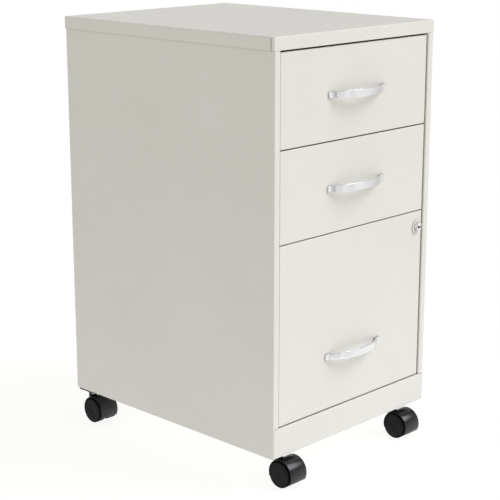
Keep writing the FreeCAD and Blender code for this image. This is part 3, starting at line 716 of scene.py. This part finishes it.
def make_hood(place):
    """One caster's hood: a curved shell over both wheels, with the wall between them and the boss."""
    x, y = caster_centre(place)
    around = around_x(x, y)
    inner = HOOD_RADIUS - HOOD_SHELL
    end = HOOD_HALF_WIDTH
    outline = [
        (HOOD_RADIUS, -end, HOOD_OUTER_EDGE),
        (HOOD_RADIUS, end, HOOD_OUTER_EDGE),
        (inner, end, HOOD_INNER_EDGE),
        (inner, HOOD_WEB, HOOD_FILLET),
        (inner - HOOD_ROOT, HOOD_WEB, 0),
        (inner - HOOD_ROOT, -HOOD_WEB, 0),
        (inner, -HOOD_WEB, HOOD_FILLET),
        (inner, -end, HOOD_INNER_EDGE),
    ]
    section = eased(outline, steps=4)
    mesh = bmesh.new()
    lines = [[around(radius, along, a) for a in hood_angles(radius, HOOD_STEPS)] for radius, along in section]
    made = skin(mesh, list(zip(*lines)))
    mesh.faces.new(made[0])
    mesh.faces.new(list(reversed(made[-1])))
    add_web(mesh, x, y, inner - WEB_SET_IN)
    add_boss(mesh, place)
    finish_piece(place + "_hood", mesh, place + "_caster", "caster_black", [place + "_caster_hood"])


def add_web(mesh, x, y, radius):
    """The wall between the wheels."""
    angles = hood_angles(radius, WEB_STEPS)
    outline = [(y + radius * math.cos(a), AXLE_HEIGHT + radius * math.sin(a)) for a in angles]
    half = HOOD_WEB - WEB_INSET
    rings = [[(x + side, v, w) for v, w in outline] for side in (-half, half)]
    made = skin(mesh, rings)
    mesh.faces.new(made[0])
    mesh.faces.new(list(reversed(made[-1])))


def add_boss(mesh, place):
    """The swivel boss, narrower at its foot, with a grooved bearing collar at the top."""
    x, y = caster_centre(place)
    stem_y = y + TRAIL
    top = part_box(place + "_caster_hood")[1].z
    groove = BOSS_RADIUS - COLLAR_GROOVE
    lowest, lower, upper, uppermost = [top - level for level in COLLAR_LEVELS]
    outline = [
        (BOSS_RADIUS - BOSS_FLARE, BOSS_FOOT, 0),
        (BOSS_RADIUS, BOSS_FOOT + BOSS_FLARE_HEIGHT, BOSS_FLARE_HEIGHT),
        (BOSS_RADIUS, lowest, COLLAR_LIP_EDGE),
        (groove, lower, COLLAR_GROOVE_EDGE),
        (groove, upper, COLLAR_GROOVE_EDGE),
        (BOSS_RADIUS, uppermost, COLLAR_LIP_EDGE),
        (BOSS_RADIUS, top, BOSS_TOP_EDGE),
        (BOSS_BORE, top, 0),
        (BOSS_BORE, BOSS_FOOT, 0),
    ]

    def around(radius, height, angle):
        return (x + radius * math.cos(angle), stem_y + radius * math.sin(angle), height)

    turned(mesh, around, eased(outline), 48)


def make_wheel(place, side_name):
    """One wheel: rounded tread, grooved ring, dished face and a shallow recess at its centre."""
    side = -1.0 if side_name == "left" else 1.0
    x, y = caster_centre(place)
    around = around_x(x, y)
    node = place + "_wheel_" + side_name
    face = WHEEL_OUTER
    ring = WHEEL_RADIUS - RING_WIDTH
    outline = [
        (WHEEL_BORE, WHEEL_INNER, 0.3 * MM),
        (WHEEL_HUB, WHEEL_INNER, 0.4 * MM),
        (WHEEL_HUB, face - WHEEL_FACE_WALL, 0.8 * MM),
        (WHEEL_RADIUS - TREAD_WALL, face - WHEEL_FACE_WALL, 0.8 * MM),
        (WHEEL_RADIUS - TREAD_WALL, WHEEL_INNER, 0.4 * MM),
        (WHEEL_RADIUS, WHEEL_INNER, TREAD_INNER_EDGE),
        (WHEEL_RADIUS, face, TREAD_OUTER_EDGE),
        (ring, face, 0.3 * MM),
        (ring - 0.3 * MM, face - RING_GROOVE, 0.2 * MM),
        (ring - RING_GROOVE_WIDTH, face - RING_GROOVE, 0.2 * MM),
        (ring - RING_GROOVE_WIDTH - 0.4 * MM, face - DISC_RISE, 0.3 * MM),
        (CENTRE_RADIUS + 0.4 * MM, face - DISC_DISH, 0.6 * MM),
        (CENTRE_RADIUS, face - CENTRE_DEPTH, 0.3 * MM),
        (CENTRE_CAP, face - CENTRE_DEPTH, 0),
        (CENTRE_CAP, face - CENTRE_WALL, 0),
        (WHEEL_BORE, face - CENTRE_WALL, 0),
    ]
    mesh = bmesh.new()
    # marks the outer edge of the tread beside the face for its painted shade
    layer = mesh.verts.layers.float.new("rim")
    profile = [(r, side * along) for r, along in eased(outline, steps=4)]
    segments = 96
    for circle in turned(mesh, around, profile, segments):
        for vert, (radius, along) in zip(circle, profile):
            in_rim_shade = radius > WHEEL_RADIUS - SHADED_RIM_WIDTH and abs(along) > face - SHADED_RIM_DEPTH
            vert[layer] = 1.0 if in_rim_shade else 0.0
    for depth in (CENTRE_DEPTH, CENTRE_WALL):
        angles = [2.0 * math.pi * i / segments for i in range(segments)]
        mesh.faces.new([mesh.verts.new(around(CENTRE_CAP, side * (face - depth), a)) for a in angles])
    finish_piece(place + "_tyre_" + side_name, mesh, node, "wheel_black", [node])


# ---------------------------------------------------------------- room


def make_floor():
    """A plain pale floor."""
    mesh = bmesh.new()
    bmesh.ops.create_grid(mesh, x_segments=4, y_segments=4, size=FLOOR_SIZE / 2.0)
    data = bpy.data.meshes.new("floor")
    mesh.to_mesh(data)
    mesh.free()
    floor = bpy.data.objects.new("floor", data)
    bpy.context.scene.collection.objects.link(floor)
    f = Finish("floor")
    grain = f.noise(3.0, 3.0)
    colour = f.blend(f.spread(grain, 0.3, 0.7, 0.0, 1.0), (0.125, 0.125, 0.12), (0.135, 0.135, 0.13))
    f.done(colour, 0.75, f.relief(f.noise(300.0), 0.02 * MM), Specular_IOR_Level=0.1)
    f.shader.inputs["Emission Color"].default_value = (1.0, 0.995, 0.985, 1.0)
    f.shader.inputs["Emission Strength"].default_value = FLOOR_GLOW
    data.materials.append(f.material)


def make_surround(tree):
    """The room as polished surfaces see it: panels and gaps round the horizon, dim overhead."""
    place = tree.nodes.new("ShaderNodeTexCoord")
    split = tree.nodes.new("ShaderNodeSeparateXYZ")
    tree.links.new(place.outputs["Generated"], split.inputs["Vector"])
    turn = tree.nodes.new("ShaderNodeMath")
    turn.operation = "ARCTAN2"
    tree.links.new(split.outputs["Y"], turn.inputs[0])
    tree.links.new(split.outputs["X"], turn.inputs[1])
    share = tree.nodes.new("ShaderNodeMath")
    share.operation = "MULTIPLY_ADD"
    share.inputs[1].default_value = 0.5 / math.pi
    share.inputs[2].default_value = 0.5
    tree.links.new(turn.outputs["Value"], share.inputs[0])
    ramp = tree.nodes.new("ShaderNodeValToRGB")
    stops = ramp.color_ramp.elements
    while len(stops) < len(SURROUND):
        stops.new(0.5)
    for stop, (spot, level) in zip(stops, SURROUND):
        stop.position = spot
        stop.color = (*[level * tint for tint in SURROUND_TINT], 1.0)
    tree.links.new(share.outputs["Value"], ramp.inputs["Fac"])
    height = tree.nodes.new("ShaderNodeMapRange")
    low, high = UPPER_FADE
    for socket, value in (("From Min", low), ("From Max", high), ("To Min", 1.0), ("To Max", UPPER_DIM)):
        height.inputs[socket].default_value = value
    tree.links.new(split.outputs["Z"], height.inputs["Value"])
    room = tree.nodes.new("ShaderNodeBackground")
    tree.links.new(ramp.outputs["Color"], room.inputs["Color"])
    tree.links.new(height.outputs["Result"], room.inputs["Strength"])
    return room


def make_ambient(tree):
    """Soft light for matte surfaces: strong below and overhead, weaker at the horizon, dimmer behind."""
    place = tree.nodes.new("ShaderNodeTexCoord")
    split = tree.nodes.new("ShaderNodeSeparateXYZ")
    tree.links.new(place.outputs["Generated"], split.inputs["Vector"])
    height = tree.nodes.new("ShaderNodeMapRange")
    height.inputs["From Min"].default_value = -1.0
    tree.links.new(split.outputs["Z"], height.inputs["Value"])
    ramp = tree.nodes.new("ShaderNodeValToRGB")
    levels = ((0.0, AMBIENT_BELOW), (0.49, AMBIENT_BELOW), (0.51, AMBIENT_HORIZON), (1.0, AMBIENT_OVERHEAD))
    stops = ramp.color_ramp.elements
    while len(stops) < len(levels):
        stops.new(0.5)
    for stop, (spot, level) in zip(stops, levels):
        stop.position = spot
        stop.color = (*[level * tint for tint in AMBIENT_COLOUR], 1.0)
    tree.links.new(height.outputs["Result"], ramp.inputs["Fac"])
    behind = tree.nodes.new("ShaderNodeMapRange")
    behind.inputs["To Min"].default_value = 1.0
    behind.inputs["To Max"].default_value = AMBIENT_BEHIND
    tree.links.new(split.outputs["Y"], behind.inputs["Value"])
    lit = tree.nodes.new("ShaderNodeBackground")
    tree.links.new(ramp.outputs["Color"], lit.inputs["Color"])
    tree.links.new(behind.outputs["Result"], lit.inputs["Strength"])
    return lit


def make_world():
    """White backdrop, a warm ambient light for matte surfaces and a plain surround for reflections."""
    world = bpy.data.worlds.new("studio")
    world.use_nodes = True
    bpy.context.scene.world = world
    tree = world.node_tree
    tree.nodes.clear()
    output = tree.nodes.new("ShaderNodeOutputWorld")
    path = tree.nodes.new("ShaderNodeLightPath")
    seen = tree.nodes.new("ShaderNodeBackground")
    seen.inputs["Color"].default_value = (1.0, 1.0, 1.0, 1.0)
    seen.inputs["Strength"].default_value = BACKDROP_STRENGTH
    shader = seen
    for ray, light in (("Is Glossy Ray", make_surround(tree)), ("Is Diffuse Ray", make_ambient(tree))):
        mix = tree.nodes.new("ShaderNodeMixShader")
        tree.links.new(path.outputs[ray], mix.inputs["Fac"])
        tree.links.new(shader.outputs[0], mix.inputs[1])
        tree.links.new(light.outputs["Background"], mix.inputs[2])
        shader = mix
    tree.links.new(shader.outputs[0], output.inputs["Surface"])


def make_key_light():
    """A broad, soft key from above the front, a little to the right."""
    lamp = bpy.data.lights.new("key", "SUN")
    lamp.energy = SUN_STRENGTH
    lamp.color = SUN_COLOUR
    lamp.angle = math.radians(SUN_SOFTNESS)
    holder = bpy.data.objects.new("key", lamp)
    bpy.context.scene.collection.objects.link(holder)
    holder.rotation_mode = "QUATERNION"
    holder.rotation_quaternion = Vector(SUN_WAY).to_track_quat("Z", "Y")


def make_camera():
    """A long lens from the front left, pitched down at the cabinet."""
    lens = bpy.data.cameras.new("camera")
    lens.lens = CAMERA_LENS
    lens.sensor_width = SENSOR_WIDTH
    lens.clip_end = CAMERA_REACH
    lens.dof.use_dof = False
    camera = bpy.data.objects.new("camera", lens)
    bpy.context.scene.collection.objects.link(camera)
    pitch = math.radians(CAMERA_PITCH)
    yaw = math.radians(CAMERA_YAW)
    look = Vector((math.sin(yaw) * math.cos(pitch), math.cos(yaw) * math.cos(pitch), -math.sin(pitch)))
    camera.location = CAMERA_PLACE
    camera.rotation_mode = "QUATERNION"
    camera.rotation_quaternion = look.to_track_quat("-Z", "Y")
    bpy.context.scene.camera = camera


dress_cad_nodes()
for drawer_name in DRAWERS:
    make_handle(drawer_name)
make_lock_bezel()
make_lock_plug()
for caster_name in CASTERS:
    make_hood(caster_name)
    for wheel_side in ("left", "right"):
        make_wheel(caster_name, wheel_side)
make_floor()
make_world()
make_key_light()
bpy.context.scene.view_settings.view_transform = "Standard"
make_camera()
